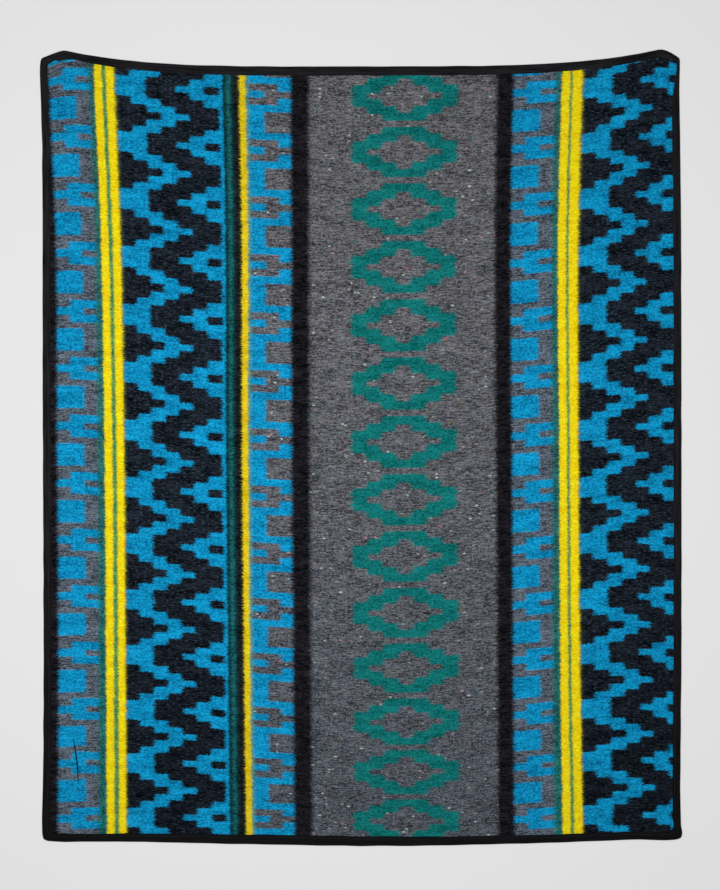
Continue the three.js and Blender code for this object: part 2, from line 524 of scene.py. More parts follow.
YARNS = {
    "heather": {
        "grey": [(46, 48, 53), (150, 149, 156)],
        # The grey's painted shade, darker and cooler, used lower down
        "shaded cool grey": [(36, 41, 49), (123, 131, 143)],
        "slate": [(40, 48, 57), (134, 149, 167)],
    },
    "even": {
        "blue": [(0, 102, 145), (18, 171, 227)],
        "yellow": [(233, 195, 2), (255, 243, 30)],
        "gold": [(202, 172, 4), (246, 220, 38)],
        "teal": [(2, 82, 80), (24, 132, 130)],
        "sea": [(6, 62, 62), (36, 128, 121)],
        "pine": [(2, 26, 29), (16, 70, 70)],
        "lagoon": [(6, 56, 60), (36, 116, 122)],
        "leaf": [(30, 112, 76), (112, 166, 84)],
        "mist": [(60, 130, 125), (118, 166, 142)],
        "olive": [(100, 110, 30), (140, 150, 50)],
    },
    "deep": {
        "black": [(7, 6, 9), (44, 42, 48)],
        "ink": [(3, 7, 12), (43, 50, 62)],
    },
}
print("yarns:", {tone: len(yarns) for tone, yarns in YARNS.items()})

# %% Noise that follows the rows: its size along them and across them in millimetres, and its detail
STREAKS = {
    "fine": (17.0, 2.5, 2.0),
    "grain": (5.2, 3.8, 2.0),
    "patch": (24.0, 11.0, 2.0),
    "broad": (70.0, 22.0, 2.0),
    "fibres": (8.0, 0.6, 0.0),
    "threads": (12.0, 2.4, 1.0),
    "wander": (30.0, 22.0, 1.0),
    "lifted": (1.1, 4.0, 0.0),
    "tilt": (8.0, 9.0, 1.0),
    "specks": (9.0, 2.5, 1.0),
    "salt": (4.6, 1.8, 1.0),
    "nap": (3.2, 1.3, 3.0),
}
NOISE_MIDDLE = 0.5


def streaks(finish, place, along, across, detail):
    """Noise drawn out along the rows: its size along and across them."""
    drawn = finish.scaled(place, (1 / along, 1 / across, 1.0))
    settings = {"noise_dimensions": "2D"}
    return finish.node("ShaderNodeTexNoise", settings, {"Vector": drawn, "Scale": 1.0, "Detail": detail})


def contrast(wire, gain, middle=NOISE_MIDDLE):
    """Noise spread out around its middle, held between 0 and 1."""
    return ((wire - NOISE_MIDDLE) * gain + middle).held()


print("kinds of noise:", len(STREAKS))

# %% Light and dark in the yarns
TONES = {
    "even": {"grain": 0.42, "fine": 0.23, "patch": 0.17, "broad": 0.18},
    "heather": {"grain": 0.32, "fine": 0.4, "patch": 0.13, "broad": 0.15},
    "deep": {"grain": 0.3, "fine": 0.33, "patch": 0.19, "broad": 0.18},
}
TONE_SPREAD = {
    "even": {"gain": 4.5, "middle": 0.5},
    "heather": {"gain": 3.0, "middle": 0.28},
    "deep": {"gain": 4.2, "middle": 0.3},
}


def toned(noise, shares, gain, middle):
    """A light and dark that wanders over the cloth: noises added by their shares."""
    total = sum(noise[name] * share for name, share in shares.items())
    return contrast(total, gain, middle)


print("tones:", ", ".join(TONES))

# %% [markdown]
# ## The pattern chart
# The figures are traditional: stepped zigzags, hooks and diamonds, all built from blocks one column
# wide and one row high, mirrored about a middle row. They could be painted as an image, but a rule
# for each figure is shorter, is sharp at any distance and needs no file. A step counts rows away
# from the middle row, and a column counts across the band. Loose fibres then blur the edges, and
# brushing has spread some figures a little over their ground and let others shrink.

# %% Rules for the figures
def hook(column, step):
    """Where the second colour lies in a band three columns wide."""
    claw = (step > 0.5) * (step < 1.5) * (column > 1.5)
    block = ((step < 0.5) + (step > 2.5)) * (column < 2.5)
    return claw + block


def zigzag(column, step):
    """A stepped ribbon on the left, and a comb of teeth on the right."""
    lead = step.most(1.0)
    ribbon = (column > lead - 0.5) * (column < lead + 1.5)
    teeth = column > (step + 4.5).least(7.5)
    notch = (step < 0.5) * (column > 6.5) * (column < 7.5)
    return ribbon.most(teeth * (1 - notch))


def diamond(side, step):
    """A ring of blocks: side counts columns from the diamond's middle."""
    ring = side + step
    return (ring > 2.5) * (ring < 4.5) * (side < 3.5) * (step < 3.5)


ROWS_IN_REPEAT = 8
print("rows in a repeat:", ROWS_IN_REPEAT)

# %% Columns of the figures, in millimetres
FIGURES = {
    "hook": {
        "second": "blue",
        "grown": 0.5,
        "slant": 0.0,
        "column": 28.8,
        "shown": lambda columns, step, slant: hook(columns.floor() + 1, step),
    },
    "turned hook": {
        "second": "grey",
        "grown": 0.0,
        "slant": 0.0,
        "column": 26.3,
        "shown": lambda columns, step, slant: hook(3 - columns.floor(), step),
    },
    "zigzag": {
        "second": "blue",
        "grown": -1.0,
        "slant": 0.1,
        "column": 28.2,
        "shown": lambda columns, step, slant: zigzag((columns - slant).floor() + 1, step),
    },
    "diamond": {
        "second": "teal",
        "grown": 0.4,
        "slant": 0.3,
        "column": 30.0,
        "shown": lambda columns, step, slant: diamond((abs(columns) + slant + 0.5).floor(), step),
    },
}
print("figures:", ", ".join(FIGURES))

# %% Bands across the cloth, in millimetres
BANDS = [
    {"yarn": "black", "width": 16.9},
    {"yarn": "slate", "width": 81.0, "blend": 7.0, "edge": "combed", "figure": "hook", "from": -2.5},
    {"yarn": "sea", "width": 15.5, "blend": 11.0, "lean": 0.36},
    {"yarn": "yellow", "width": 15.6, "blend": 1.5, "strays": {-1: 5.0}},
    {"yarn": "leaf", "width": 9.3, "blend": 2.5},
    {"yarn": "yellow", "width": 13.9, "blend": 2.5, "lean": -0.13, "later": -2.6, "strays": {1: 7.0}},
    {"yarn": "ink", "width": 204.6, "blend": 4.0, "figure": "zigzag", "from": -0.1},
    {"yarn": "pine", "width": 7.0, "blend": 2.5},
    {"yarn": "lagoon", "width": 8.0, "blend": 5.5},
    {"yarn": "pine", "width": 5.0, "blend": 5.0},
    {"yarn": "black", "width": 12.7, "blend": 8.0},
    {"yarn": "gold", "width": 11.5, "blend": 1.5, "strays": {-1: 5.0}},
    {"yarn": "mist", "width": 5.4, "blend": 2.5},
    {"yarn": "blue", "width": 81.2, "blend": 7.0, "figure": "turned hook", "from": 4.8},
    {"yarn": "black", "width": 37.4, "blend": 8.0, "edge": "combed"},
    {"yarn": "grey", "width": 370.8, "blend": 10.0, "edge": "combed", "figure": "diamond", "from": 189.0},
    {"yarn": "black", "width": 16.8, "blend": 9.0, "edge": "combed"},
]
print("bands add up to", sum(band["width"] for band in BANDS), "mm, repeat", REPEAT)

# %% Flecks in the grey yarn
FLECKS = [
    {"yarn": dye(178, 40, 96), "over": 0.996, "fade": 3.0},
    {"yarn": dye(192, 200, 194), "over": 0.988, "fade": 1.0},
    {"yarn": dye(52, 114, 128), "over": 0.983, "fade": 1.0},
    {"yarn": dye(24, 24, 30), "over": 0.965, "fade": 1.0},
    {"yarn": dye(116, 112, 88), "over": 0.955, "fade": 1.0},
]
FLECK_SIZE = (6.5, 3.6)
FLECK_LEAST = 0.35
FLECK_EDGE = 2.2


def flecked(finish, place, ground):
    """Short flecks of other yarns, each in its own cell."""
    drawn = finish.scaled(place, (1 / FLECK_SIZE[0], 1 / FLECK_SIZE[1], 1.0))
    settings = {"voronoi_dimensions": "2D"}
    values = {"Vector": drawn, "Scale": 1.0, "Randomness": 1.0}
    near = finish.node("ShaderNodeTexVoronoi", settings, values)
    cell = finish.node("ShaderNodeTexVoronoi", settings, values, out="Color")
    pick = finish.axis(cell, 0)
    strength = finish.axis(cell, 1).between(FLECK_LEAST, 1)
    body = contrast(1 - near, FLECK_EDGE)
    colour = ground
    for fleck in reversed(FLECKS):
        cover = (pick > fleck["over"]) * body * strength ** fleck["fade"]
        colour = finish.mix(cover, colour, fleck["yarn"])
    return colour


print("flecks:", len(FLECKS), "colours")

# %% Every yarn's colour over the cloth
# Painted shade lower down: where the grey turns darker and cooler, and how fast
COOL_SHADE_FROM = 5.5
COOL_SHADE_RUN = 6.0
COOL_SHADE_STREAKS = 4.0
# Painted shade on the ink towards the foot of the blanket: its colour, where it starts, how far it runs,
# how strong
INK_SHADE = dye(2, 3, 5)
INK_SHADE_FROM = 8.0
INK_SHADE_RUN = 4.0
INK_SHADE_COVER = 0.3
SALT = {"yarn": dye(162, 163, 164), "over": 0.14, "edge": 14.0, "cover": 0.55}
PEPPER = {"yarn": dye(38, 39, 45), "over": 0.14, "edge": 14.0, "cover": 0.35, "sign": -1.0}
INK_SPECKS = {"yarn": dye(64, 85, 101), "over": 0.12444, "edge": 9.0, "cover": 0.6}
PALE_HAIRS = {"yarn": dye(96, 190, 218), "over": 0.17, "edge": 9.0, "cover": 0.3}


def spun(finish, noise, ground, yarn, over, edge, cover, sign=1.0):
    """Wool with odd fibres spun in where a noise is well over its middle, or under it."""
    shown = ((noise - NOISE_MIDDLE) * sign - over) * edge
    return finish.mix(shown.held() * cover, ground, yarn)


def yarn_colours(finish, place, noise, down):
    """Each yarn between its shades, with painted shade lower down: darker, cooler grey and darker ink."""
    yarn = {}
    for tone, yarns in YARNS.items():
        wander = toned(noise, TONES[tone], **TONE_SPREAD[tone])
        for name, (dark, light) in yarns.items():
            yarn[name] = finish.mix(wander, dye(*dark), dye(*light))
    # Painted shade: the grey turns darker and cooler lower down
    grey_shade = ((down - COOL_SHADE_FROM) / COOL_SHADE_RUN + (noise["threads"] - NOISE_MIDDLE) * COOL_SHADE_STREAKS).held()
    yarn["grey"] = finish.mix(grey_shade, yarn["grey"], yarn["shaded cool grey"])
    for grain in (SALT, PEPPER):
        for name in ("grey", "slate"):
            yarn[name] = spun(finish, noise["salt"], yarn[name], **grain)
    yarn["grey"] = flecked(finish, place, yarn["grey"])
    yarn["blue"] = spun(finish, noise["salt"], yarn["blue"], **PALE_HAIRS)
    unshaded = spun(finish, noise["specks"], yarn["ink"], **INK_SPECKS)
    # Painted shade: the ink turns darker towards the foot of the blanket
    foot = ((down - INK_SHADE_FROM) / INK_SHADE_RUN).held() * INK_SHADE_COVER
    yarn["ink"] = finish.mix(foot, unshaded, INK_SHADE)
    return yarn


print("the grey turns cooler from repeat", COOL_SHADE_FROM)

# %% Fuzzy edges
FUZZ = {
    "trim": {"fibres": 8.0, "threads": 3.0, "wander": 3.5},
    "combed": {"fibres": 9.0, "threads": 9.0, "wander": 3.0},
    "figure": {"fibres": 14.0, "threads": 7.0, "wander": 3.0},
    "row": {"tilt": 0.12, "lifted": 0.36},
}


def fuzzy(clean, noise, kind):
    """A place on the chart, moved a little by the noise of loose fibres."""
    return clean + sum((noise[name] - NOISE_MIDDLE) * size for name, size in FUZZ[kind].items())


print("kinds of edge:", ", ".join(FUZZ))

# %% Figures on the chart
GROWN_ROWS = 0.07


def figure_mask(figure, at, from_middle):
    """1 in a figure's second colour, which is a little larger or smaller than its blocks."""
    step = (from_middle + 0.5).floor()
    slant = (from_middle - step) * figure["slant"]

    def shown(aside, rows):
        columns = (at + aside) / figure["column"]
        return figure["shown"](columns, (from_middle + 0.5 + rows).floor(), slant)

    out = abs(figure["grown"])
    if figure["grown"] > 0:
        return shown(out, GROWN_ROWS).most(shown(-out, -GROWN_ROWS))
    if figure["grown"] < 0:
        return shown(out, GROWN_ROWS) * shown(-out, -GROWN_ROWS)
    return shown(0, 0)


print("a figure grows by", GROWN_ROWS, "of a row")

# %% Colour of the weave
PITCH_DOWN = 115.5
LAST_REPEAT = max(ROW_MARKS.values())
STRAY_START = 3.0
STRAY_COVER = 0.9
STRAY_STREAKS = 3.5
STRAYS_THIN = 0.035


def woven(finish):
    """The cloth's colour and its noise, from the pattern's own places."""
    uv = finish.node("ShaderNodeUVMap", {"uv_map": "weave"})
    repeats, down = finish.axis(uv, 0), finish.axis(uv, 1)
    place = finish.scaled(uv, (REPEAT, PITCH_DOWN, 1.0))
    noise = {name: streaks(finish, place, *size) for name, size in STREAKS.items()}
    yarn = yarn_colours(finish, place, noise, down)
    rows = fuzzy(down * ROWS_IN_REPEAT, noise, "row")
    from_middle = abs(rows - (rows / ROWS_IN_REPEAT + 0.5).floor() * ROWS_IN_REPEAT)
    clean = repeats.part() * REPEAT
    across = {kind: fuzzy(clean, noise, kind) for kind in ("trim", "combed", "figure")}
    colour = yarn[BANDS[0]["yarn"]]
    start = BANDS[0]["width"]
    strays = []
    for band in BANDS[1:]:
        ground = yarn[band["yarn"]]
        if "figure" in band:
            figure = FIGURES[band["figure"]]
            shown = figure_mask(figure, across["figure"] - (start + band["from"]), from_middle)
            ground = finish.mix(shown, ground, yarn[figure["second"]])
        inside = across[band.get("edge", "trim")] - start
        if "lean" in band:
            inside = inside - (LAST_REPEAT - down) * band["lean"]
        if "later" in band:
            inside = inside - repeats.floor() * band["later"]
        colour = finish.mix((inside / band["blend"] + 0.5).held(), colour, ground)
        for side, reach in band.get("strays", {}).items():
            edge = start + band["width"] if side > 0 else start
            strays.append((across["combed"] - edge) * (side / reach))
        start += band["width"]
    thick = contrast(noise["threads"], STRAY_STREAKS) * (1 - down * STRAYS_THIN) * STRAY_COVER
    for beyond in strays:
        cover = (beyond * STRAY_START + 0.5).held() * (1 - beyond).held() * thick
        colour = finish.mix(cover, colour, yarn["olive"])
    return colour, noise


print("bands in the weave:", len(BANDS))

# %% Finish of the cloth
FIBRE_SHADES = (0.85, 1.15)
PALE_FIBRES = 0.03
PALE_FIBRE_GAIN = 0.8
NAP_BUMP = {"Strength": 0.6, "Distance": 1.2 * MM}
CLOTH_ROUGHNESS = (0.78, 0.98)
CLOTH_GLOSS = {"Specular_IOR_Level": 0.03, "Sheen_Weight": 0.03, "Sheen_Roughness": 0.5}


def cloth_finish(name, fibre_map=None):
    """Brushed woven wool. A fibre map gives loose fibres their own light and dark."""
    finish = Finish(name)
    colour, noise = woven(finish)
    if fibre_map:
        uv = finish.node("ShaderNodeUVMap", {"uv_map": fibre_map})
        luck = finish.axis(uv, 0)
        light = luck.between(*FIBRE_SHADES) + (luck > 1 - PALE_FIBRES) * PALE_FIBRE_GAIN
        colour = finish.node("ShaderNodeVectorMath", {"operation": "SCALE"}, {0: colour, 3: light})
    normal = finish.node("ShaderNodeBump", {}, {"Height": noise["nap"], **NAP_BUMP})
    roughness = noise["fine"].between(*CLOTH_ROUGHNESS)
    return finish.surface(Base_Color=colour, Roughness=roughness, Normal=normal, **CLOTH_GLOSS)


cloth.data.materials.append(cloth_finish("brushed_weave"))
print("nodes in the cloth's finish:", len(cloth.data.materials[0].node_tree.nodes))

# %% [markdown]
# ## The nap
# Brushing pulls loose fibres out of the weave, so the face is furry and each colour creeps over the
# edge of the next. A hair system would do this in a render, but it isn't a mesh. So the fibres are
# thin closed wedges, scattered over the face and joined into one mesh: most lie along the rows, and
# each takes the colour of the yarn at its root.

# %% Read the sheet at any place
def between_lines(shares, lines):
    """The grid line before each share, and how far it lies towards the next line."""
    line = np.clip(np.searchsorted(lines, shares) - 1, 0, len(lines) - 2)
    return line, (shares - lines[line]) / (lines[line + 1] - lines[line])


def sheet_at(s, t, values):
    """A value of the grid's corners, between them."""
    i, a = between_lines(s, SHARES_ACROSS)
    j, b = between_lines(t, SHARES_UP)
    low = values[i, j] * (1 - a) + values[i + 1, j] * a
    high = values[i, j + 1] * (1 - a) + values[i + 1, j + 1] * a
    return low * (1 - b) + high * b


print("middle of the sheet:", sheet_at(np.array([0.5]), np.array([0.5]), FACE_Z))

# %% Make the nap
SEED = 20
FIBRES = 47000
FIBRE_LONG = (3.0, 7.0)
FIBRE_WIDE = (0.35, 0.7)
FIBRE_LIFT = (0.15, 0.8)
FIBRE_THICK = 0.2 * MM
FIBRE_SPREAD = 0.38
NAP_CLEARANCE = 1.5 * MM
WEDGE_FACES = ([0, 1, 2], [1, 0, 3], [0, 2, 3], [1, 3, 2])
GRID_OVER = repeats_across.reshape(GRID_X.shape)
GRID_DOWN = repeats_down.reshape(GRID_X.shape)
rng = np.random.default_rng(SEED)


def nap_piece(name):
    """One mesh of loose fibres over the whole face."""
    s = rng.uniform(SHARES_ACROSS[0], SHARES_ACROSS[-1], 2 * FIBRES)
    t = rng.uniform(SHARES_UP[0], SHARES_UP[-1], 2 * FIBRES)
    x, y = sheet_at(s, t, GRID_X), sheet_at(s, t, GRID_Y)
    clear = sheet_at(s, t, EDGE_DISTANCE) > tape_width(x, y) + NAP_CLEARANCE
    s, t, x, y = (values[clear][:FIBRES] for values in (s, t, x, y))
    root = np.column_stack([x, y, sheet_at(s, t, FACE_Z)])
    heading = rng.normal(0, FIBRE_SPREAD, FIBRES) + np.pi * rng.integers(0, 2, FIBRES)
    flat = np.zeros(FIBRES)
    forward = np.column_stack([np.cos(heading), np.sin(heading), flat])
    aside = np.column_stack([-np.sin(heading), np.cos(heading), flat])
    upward = np.array([0.0, 0.0, 1.0])
    long = rng.uniform(*FIBRE_LONG, (FIBRES, 1)) * MM
    half_wide = rng.uniform(*FIBRE_WIDE, (FIBRES, 1)) * MM / 2
    lift = rng.uniform(*FIBRE_LIFT, (FIBRES, 1)) * MM
    tip = root + forward * long + upward * lift
    corners = [root + aside * half_wide, root - aside * half_wide, tip + upward * FIBRE_THICK, tip]
    points = np.stack(corners, 1).reshape(-1, 3)
    first = len(corners) * np.arange(FIBRES)[:, None]
    faces = np.vstack([first + np.array(face) for face in WEDGE_FACES])
    piece = new_piece(name, points, faces, smooth=False)
    over, down = sheet_at(s, t, GRID_OVER), sheet_at(s, t, GRID_DOWN)
    add_uv(piece, "weave", np.repeat(np.column_stack([over, down]), len(corners), axis=0))
    luck = rng.uniform(size=(FIBRES, 2))
    add_uv(piece, "fibre", np.repeat(luck, len(corners), axis=0))
    spread = points[:, :2] - [GRID_X.min(), GRID_Y.min()]
    add_uv(piece, "OFBake", spread / [np.ptp(GRID_X), np.ptp(GRID_Y)])
    return piece


naps = [nap_piece("brushed_nap_" + layer) for layer in ("a", "b")]
nap_material = cloth_finish("loose_fibres", fibre_map="fibre")
for nap in naps:
    nap.data.materials.append(nap_material)
print("nap:", len(naps), "pieces of", len(naps[0].data.polygons), "faces")

# %% [markdown]
# ## A dark strand as painted shade in the pinch
# In the pinch at the lower left lies a dark strand that paints the crease's shadow, with a short
# end beside it. It is thinner than a row of the pattern, so it needs its own mesh: a fine tube along
# the pinch that tapers into the cloth at both ends.

# %% Make the dark strand that paints the crease's shade
# Painted shade: a dark strand lies along the pinch's crease, with a short end beside it
SHADE_STRAND_RUNS = [
    {"share": (-0.02, 0.95), "aside": (0.0, 0.0), "radius": 1.5},
    {"share": (1.03, 1.12), "aside": (0.5, 1.0), "radius": 0.6},
    {"share": (0.58, 0.5), "aside": (-14.0, -3.5), "radius": 0.6},
]
SHADE_STRAND_RINGS = 25
SHADE_STRAND_SIDES = 6
SHADE_STRAND_FLATNESS = 0.55
SHADE_STRAND_RISE = 0.85 * MM
SHADE_STRAND_TIP = 0.12
SHADE_STRAND_SWELL = 0.6


def turns(sides):
    """Angles of the corners of a ring."""
    return 2 * np.pi * np.arange(sides) / sides


def shade_strand_tube(run):
    """Corners of one tapering tube that lies on the cloth's face."""
    t = np.linspace(0, 1, SHADE_STRAND_RINGS)
    x, y = pinch_line(np.linspace(*run["share"], SHADE_STRAND_RINGS))
    x = x + np.linspace(*run["aside"], SHADE_STRAND_RINGS) * MM
    radius = run["radius"] * MM * (SHADE_STRAND_TIP + (1 - SHADE_STRAND_TIP) * np.sin(np.pi * t) ** SHADE_STRAND_SWELL)
    z = CLOTH_TOP + relief(x, y) + SHADE_STRAND_RISE
    turn = turns(SHADE_STRAND_SIDES)
    across = x[:, None] + radius[:, None] * np.cos(turn)
    height = z[:, None] + SHADE_STRAND_FLATNESS * radius[:, None] * (1 + np.sin(turn))
    return np.stack([across, np.broadcast_to(y[:, None], across.shape), height], -1).reshape(-1, 3)


def tube_faces(rings, sides):
    """Quads round a tube, and a fan at each of its ends."""
    number = np.arange(rings * sides).reshape(rings, sides)
    after = np.roll(number, -1, 1)
    skin = np.stack([number[:-1], after[:-1], after[1:], number[1:]], -1).reshape(-1, 4).tolist()
    return skin + [number[0, ::-1].tolist(), number[-1].tolist()]


def tubes_faces(count, rings, sides):
    """The faces of several tubes, numbered on from one to the next."""
    one = tube_faces(rings, sides)
    return [[corner + rings * sides * k for corner in face] for k in range(count) for face in one]


shade_strand_points = np.vstack([shade_strand_tube(run) for run in SHADE_STRAND_RUNS])
shade_strand_faces = tubes_faces(len(SHADE_STRAND_RUNS), SHADE_STRAND_RINGS, SHADE_STRAND_SIDES)
shade_strand = new_piece("crease_shade_strand", shade_strand_points, shade_strand_faces)
print("pulled yarn:", len(shade_strand_faces), "faces")

# %% Finish of the dark strand of painted shade
SHADE_STRAND_TWIST = {"Scale": 700.0, "Detail": 2.0}
# Dark colours of the strand that paints the crease's shade
SHADE_STRAND_COLOURS = (dye(6, 22, 34), dye(22, 58, 78))
SHADE_STRAND_LOOK = {"gain": 2.5, "roughness": (0.75, 0.95), "gloss": 0.03}


def twisted(name, twist, shades, gain, roughness, gloss):
    """Thread, or the dark strand of painted shade, whose twist shows as fine light and dark."""
    finish = Finish(name)
    place = finish.node("ShaderNodeTexCoord", out="Object")
    noise = finish.node("ShaderNodeTexNoise", {}, {"Vector": place, **twist})
    colour = finish.mix(contrast(noise, gain), *shades)
    rough = noise.between(*roughness)
    return finish.surface(Base_Color=colour, Roughness=rough, Specular_IOR_Level=gloss)


crease_shade_finish = twisted("crease_shade_finish", SHADE_STRAND_TWIST, SHADE_STRAND_COLOURS, **SHADE_STRAND_LOOK)
shade_strand.data.materials.append(crease_shade_finish)
print("pulled yarn's finish:", crease_shade_finish.name)

# %% [markdown]
# ## The tape
# The binding is one long ribbed tape, folded over the raw edge. A curve with a bevel would twist at
# the corners, so the tape's section is swept along the outline point by point, and each point moves
# in towards the middle by its own share. The tape's ribs are part of the section. Its black is
# painted darker towards the foot of the blanket, as painted shade.

# %% Route of the tape
ROUTE_STEP = 3.5 * MM
ROUNDING = 0.25
loop = np.vstack([EDGES["bottom"], EDGES["right"], EDGES["top"][::-1], EDGES["left"][::-1]])
loop = np.vstack([loop, loop[:1]])
stations = int(length_of(loop) / ROUTE_STEP)
route = at_shares(loop, np.arange(stations) / stations)
beside = np.roll(route, 1, 0) + np.roll(route, -1, 0)
route = ROUNDING * beside + (1 - 2 * ROUNDING) * route
print("tape route:", stations, "stations,", round(length_of(loop), 3), "m")

# %% Unevenness of hand-guided sewing
WOBBLES = 9
WAVES_ROUND = (20, 90)
OUTER_SWAY = 0.25 * MM
INNER_SWAY = 0.35 * MM


def sewn_wobble(size):
    """A small uneven sway along the route, the same where the loop closes."""
    share = np.arange(stations) / stations
    sway = np.zeros(stations)
    for _ in range(WOBBLES):
        count, phase = rng.integers(*WAVES_ROUND), rng.uniform(0, 2 * np.pi)
        sway += np.sin(2 * np.pi * count * share + phase)
    return size * sway / np.sqrt(WOBBLES)


outer_sway = sewn_wobble(OUTER_SWAY)
inner_sway = sewn_wobble(INNER_SWAY)
print("largest sway of the fold:", np.abs(outer_sway).max())

# %% Section of the tape
TAPE_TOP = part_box("binding_left")[1].z
TAPE_THICKNESS = 0.9 * MM
TAPE_CUT = 33.5 * MM
RIBS = 7
POINTS_IN_RIB = 4
RIB_HEIGHT = 0.28 * MM
FOLD_POINTS = 7
HALF_WIDTH = CAD_BOX[1][0]


def tape_section(front):
    """Insets and heights round the tape's section, for each station's front width."""
    back = TAPE_CUT - TAPE_TOP - front
    turn = np.linspace(-np.pi / 2, np.pi / 2, FOLD_POINTS)
    radius = TAPE_TOP / 2
    spread = np.linspace(0, 1, RIBS * POINTS_IN_RIB + 1)
    ribs = RIB_HEIGHT * (np.abs(np.sin(np.pi * RIBS * spread)) - 1)
    inside = TAPE_TOP - TAPE_THICKNESS
    columns = [(back, 0.0), ((back + radius) / 2, 0.0)]
    columns += [(radius * (1 - np.cos(a)), radius * (1 + np.sin(a))) for a in turn]
    columns += [(radius + (front - radius) * k, TAPE_TOP + h) for k, h in zip(spread[1:], ribs[1:])]
    columns += [(front, inside), (TAPE_THICKNESS, inside)]
    columns += [(TAPE_THICKNESS, TAPE_THICKNESS), (back, TAPE_THICKNESS)]
    insets = np.stack([np.broadcast_to(inset, front.shape) for inset, _ in columns], -1)
    heights = np.array([height for _, height in columns])
    return insets, heights


front = tape_width(route[:, 0], route[:, 1]) + inner_sway
insets, heights = tape_section(front)
insets = insets + outer_sway[:, None]
print("points in the tape's section:", len(heights))

# %% Make the tape
tape_x = route[:, :1] * (1 - insets / HALF_WIDTH)
tape_y = route[:, 1:] * (1 - insets / HALF_LENGTH)
tape_z = np.broadcast_to(heights, tape_x.shape)
ring = len(heights)
number = np.arange(stations * ring).reshape(stations, ring)
next_station = np.roll(number, -1, 0)
corners = [number, next_station, np.roll(next_station, -1, 1), np.roll(number, -1, 1)]
tape_points = np.stack([tape_x, tape_y, tape_z], -1).reshape(-1, 3)
tape = new_piece("binding_tape", tape_points, np.stack(corners, -1).reshape(-1, 4))
along = np.arange(stations) * ROUTE_STEP
tape_uv = np.stack([np.broadcast_to(along[:, None], insets.shape), insets], -1).reshape(-1, 2)
add_uv(tape, "tape", tape_uv)
print("tape:", len(tape.data.polygons), "faces")

# %% Finish of the tape
TAPE_DARK = dye(6, 6, 8)
TAPE_LIGHT = dye(33, 33, 36)
# Painted shade on the tape towards the foot of the blanket: its colour, where it starts, how far it runs,
# how strong
TAPE_FOOT_SHADE = dye(3, 3, 4)
TAPE_SHADE_FROM = -0.15
TAPE_SHADE_RUN = 0.5
TAPE_SHADE_COVER = 0.65
TAPE_STREAKS = {
    "worn": (90.0, 3.4, 2.0),
    "dusty": (60.0, 9.0, 2.0),
    "threads": (1.1, 2.4, 1.0),
}
TAPE_TONE = {"worn": 0.6, "dusty": 0.25, "threads": 0.15}
TAPE_GAIN = 3.6
TAPE_BUMP = {"Strength": 0.5, "Distance": 0.4 * MM}
TAPE_ROUGHNESS = (0.6, 0.85)
TAPE_GLOSS = {"Specular_IOR_Level": 0.08, "Sheen_Weight": 0.02}


def tape_finish():
    """Near-black cotton tape: fine cross threads, a little dust and wear, and painted shade at the foot.
    """
    finish = Finish("ribbed_tape")
    uv = finish.node("ShaderNodeUVMap", {"uv_map": "tape"})
    place = finish.scaled(uv, (1 / MM, 1 / MM, 1.0))
    noise = {name: streaks(finish, place, *size) for name, size in TAPE_STREAKS.items()}
    unshaded = finish.mix(toned(noise, TAPE_TONE, TAPE_GAIN, NOISE_MIDDLE), TAPE_DARK, TAPE_LIGHT)
    height = finish.axis(finish.node("ShaderNodeTexCoord", out="Object"), 1)
    # Painted shade: the tape turns darker towards the foot of the blanket
    foot = ((TAPE_SHADE_FROM - height) / TAPE_SHADE_RUN).held() * TAPE_SHADE_COVER
    colour = finish.mix(foot, unshaded, TAPE_FOOT_SHADE)
    normal = finish.node("ShaderNodeBump", {}, {"Height": noise["threads"], **TAPE_BUMP})
    roughness = noise["worn"].between(*TAPE_ROUGHNESS)
    return finish.surface(Base_Color=colour, Roughness=roughness, Normal=normal, **TAPE_GLOSS)


tape.data.materials.append(tape_finish())
print("tape's finish:", tape.data.materials[0].name)

# %% [markdown]
# ## The stitches
# One row of stitches holds the tape, a little in from its edge, in thread that is nearly as dark as
# the tape. Each stitch is a tiny spindle that sinks into the tape at both ends. All of them are
# joined in one mesh, because twelve hundred objects would be slow to move and to export.

# %% Make the stitches
STITCH_PITCH = 4.6 * MM
STITCH_SHARE = 0.62
STITCH_FROM_EDGE = 5.2 * MM
THREAD_RADIUS = 0.34 * MM
THREAD_POINT = 0.02
THREAD_SINK = 0.12 * MM
THREAD_PROUD = 0.6
STITCH_RINGS = [(0.0, 0.0), (0.2, 0.85), (0.8, 0.85), (1.0, 0.0)]
STITCH_SIDES = 5
STITCH_FIRST = 0.2
STITCH_STRAY = 0.05

stitch_inset = (front - STITCH_FROM_EDGE + outer_sway)[:, None]
stitch_line = route * (1 - stitch_inset / np.array([HALF_WIDTH, HALF_LENGTH]))
stitch_line = np.vstack([stitch_line, stitch_line[:1]])
stitch_count = int(length_of(stitch_line) / STITCH_PITCH)
strayed = np.arange(stitch_count) + rng.normal(0, STITCH_STRAY, stitch_count)
starts = (strayed + STITCH_FIRST) / stitch_count
begin = at_shares(stitch_line, starts)
end = at_shares(stitch_line, starts + STITCH_SHARE / stitch_count)
run = end - begin
aside = np.column_stack([-run[:, 1], run[:, 0]]) / np.linalg.norm(run, axis=1)[:, None]
turn = turns(STITCH_SIDES)
ring_points = []
for share, swell in STITCH_RINGS:
    middle = begin + run * share
    across = THREAD_RADIUS * (THREAD_POINT + swell) * np.cos(turn)
    height = TAPE_TOP - THREAD_SINK + THREAD_RADIUS * swell * (THREAD_PROUD + np.sin(turn))
    flat = middle[:, None] + aside[:, None] * across[None, :, None]
    ring_points.append(np.dstack([flat, np.broadcast_to(height, flat.shape[:2])]))
stitch_points = np.stack(ring_points, 1).reshape(-1, 3)
stitch_faces = tubes_faces(stitch_count, len(STITCH_RINGS), STITCH_SIDES)
